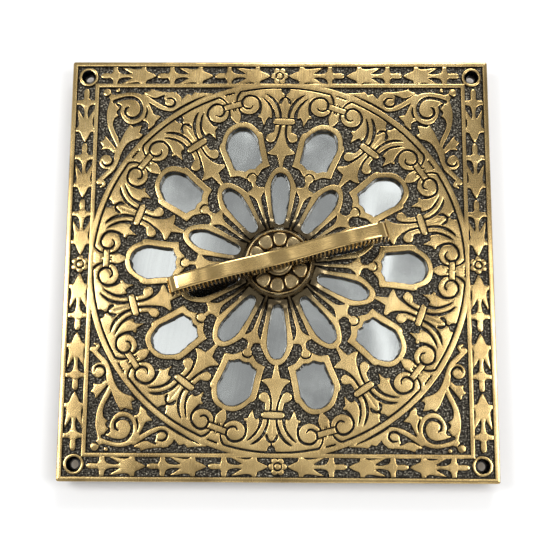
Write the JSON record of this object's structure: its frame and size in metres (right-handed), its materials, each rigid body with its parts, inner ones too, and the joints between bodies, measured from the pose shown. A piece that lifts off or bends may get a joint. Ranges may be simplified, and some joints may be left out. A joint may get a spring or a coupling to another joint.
{
  "type": "rotary ventilation register",
  "caption": "Square pierced cast-brass ventilation register; a bow handle turns the shutter disc behind its windows between shut and open.",
  "frame": {"origin": "middle of the plate on its rear mounting face, on the spindle's axis", "axes": "+Z out of the decorated face along the spindle, +X along the lower edge to the right, +Y towards the upper edge"},
  "size_m": [0.202, 0.202, 0.0336],
  "materials": {
    "antique_brass": "brushed antique brass on the relief, dark grained ground between",
    "dark_brass": "darkened polished brass",
    "bush_brass": "turned",
    "clip_brass": "pressed sheet",
    "handle_brass": "brushed, with dark cuts along both edges",
    "spindle_brass": "turned",
    "shutter_sheet": "smooth bright rolled sheet",
    "rivet_aluminium": "satin",
    "plated_steel": "zinc plated",
    "black_nylon": "matt",
    "fibre": "vulcanised fibre, matt"
  },
  "bodies": {
    "grille": {"face_plate": "antique_brass", "rosette": "dark_brass", "spindle_bush": "bush_brass", "stop_pin": "plated_steel", "rim_clip_1": "clip_brass", "rim_clip_2": "clip_brass", "rim_clip_3": "clip_brass", "rim_clip_4": "clip_brass", "clip_screws": "plated_steel"},
    "rotor": {"turn_handle": "handle_brass", "stem_collar": "dark_brass", "front_washer": "black_nylon", "spindle": "spindle_brass", "slide_washer": "fibre", "shutter_disc": "shutter_sheet", "shutter_hub": "spindle_brass", "hub_rivets": "rivet_aluminium", "wave_washer": "plated_steel", "flat_washer": "plated_steel", "clamp_nut": "plated_steel", "jam_nut": "plated_steel"}
  },
  "joints": [
    {"name": "shutter_turn", "type": "hinge", "parent": "grille", "child": "rotor", "pos_m": [0, 0, 0], "axis": [0, 0, 1], "range_deg": [-18, 0]}
  ]
}
